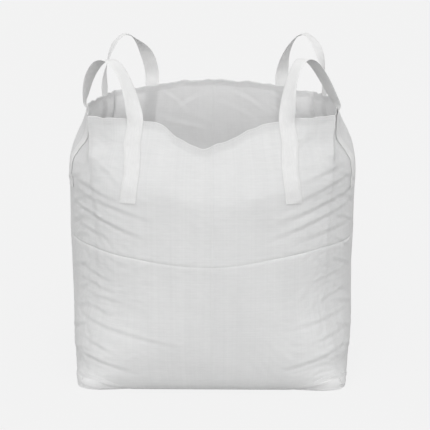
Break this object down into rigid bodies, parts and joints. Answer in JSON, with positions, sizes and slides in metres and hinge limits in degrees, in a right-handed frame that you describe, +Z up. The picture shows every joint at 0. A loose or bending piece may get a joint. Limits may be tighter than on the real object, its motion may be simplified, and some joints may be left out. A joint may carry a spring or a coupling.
{
  "type": "bulk bag",
  "caption": "Open-topped flexible bulk bag: four woven panels and a base sewn in a bulging cube, with cross-corner webbing lift loops.",
  "frame": {"origin": "middle of the base, on the ground", "axes": "+Z up, +X to the bag's right seen from the front, +Y to the back; the side with the low rim faces -Y"},
  "size_m": [1.17, 1.17, 1.3067],
  "materials": {
    "fabric": "woven polypropylene, off-white, faint sheen",
    "webbing": "woven polypropylene webbing, white",
    "thread": "white sewing thread"
  },
  "bodies": {
    "bag": {"front_panel": "fabric", "front_rim_hem": "fabric", "front_rim_stitch": "thread", "front_base_seam": "fabric", "right_panel": "fabric", "right_rim_hem": "fabric", "right_rim_stitch": "thread", "right_base_seam": "fabric", "back_panel": "fabric", "back_rim_hem": "fabric", "back_rim_stitch": "thread", "back_base_seam": "fabric", "left_panel": "fabric", "left_rim_hem": "fabric", "left_rim_stitch": "thread", "left_base_seam": "fabric", "base_panel": "fabric", "front_left_corner_seam": "fabric", "front_left_loop_front_root": "webbing", "front_left_loop_front_leg": "webbing", "front_left_loop_front_stitch": "thread", "front_left_loop_left_root": "webbing", "front_left_loop_left_leg": "webbing", "front_left_loop_left_stitch": "thread", "front_right_corner_seam": "fabric", "front_right_loop_front_root": "webbing", "front_right_loop_front_leg": "webbing", "front_right_loop_front_stitch": "thread", "front_right_loop_right_root": "webbing", "front_right_loop_right_leg": "webbing", "front_right_loop_right_stitch": "thread", "back_right_corner_seam": "fabric", "back_right_loop_back_root": "webbing", "back_right_loop_back_leg": "webbing", "back_right_loop_back_stitch": "thread", "back_right_loop_right_root": "webbing", "back_right_loop_right_leg": "webbing", "back_right_loop_right_stitch": "thread", "back_left_corner_seam": "fabric", "back_left_loop_back_root": "webbing", "back_left_loop_back_leg": "webbing", "back_left_loop_back_stitch": "thread", "back_left_loop_left_root": "webbing", "back_left_loop_left_leg": "webbing", "back_left_loop_left_stitch": "thread"},
    "front_left_loop": {"front_left_loop_arch": "webbing"},
    "front_right_loop": {"front_right_loop_arch": "webbing"},
    "back_right_loop": {"back_right_loop_arch": "webbing"},
    "back_left_loop": {"back_left_loop_arch": "webbing"}
  },
  "joints": [
    {"name": "front_left_loop_fold", "type": "hinge", "parent": "bag", "child": "front_left_loop", "pos_m": [-0.3803, -0.386, 1.0793], "axis": [0.6844, -0.723, -0.0945], "range_deg": [-85, 85], "stiffness_Nm_per_rad": 0.15, "deforming": ["front_left_loop_front_root", "front_left_loop_left_root"]},
    {"name": "front_right_loop_fold", "type": "hinge", "parent": "bag", "child": "front_right_loop", "pos_m": [0.3803, -0.3866, 1.0781], "axis": [0.6817, 0.7244, 0.1026], "range_deg": [-85, 85], "stiffness_Nm_per_rad": 0.15, "deforming": ["front_right_loop_front_root", "front_right_loop_right_root"]},
    {"name": "back_right_loop_fold", "type": "hinge", "parent": "bag", "child": "back_right_loop", "pos_m": [0.3813, 0.3806, 1.0894], "axis": [-0.7094, 0.7046, 0.0141], "range_deg": [-85, 85], "stiffness_Nm_per_rad": 0.15, "deforming": ["back_right_loop_back_root", "back_right_loop_right_root"]},
    {"name": "back_left_loop_fold", "type": "hinge", "parent": "bag", "child": "back_left_loop", "pos_m": [-0.3813, 0.3806, 1.0894], "axis": [-0.7094, -0.7046, -0.0141], "range_deg": [-85, 85], "stiffness_Nm_per_rad": 0.15, "deforming": ["back_left_loop_back_root", "back_left_loop_left_root"]}
  ]
}
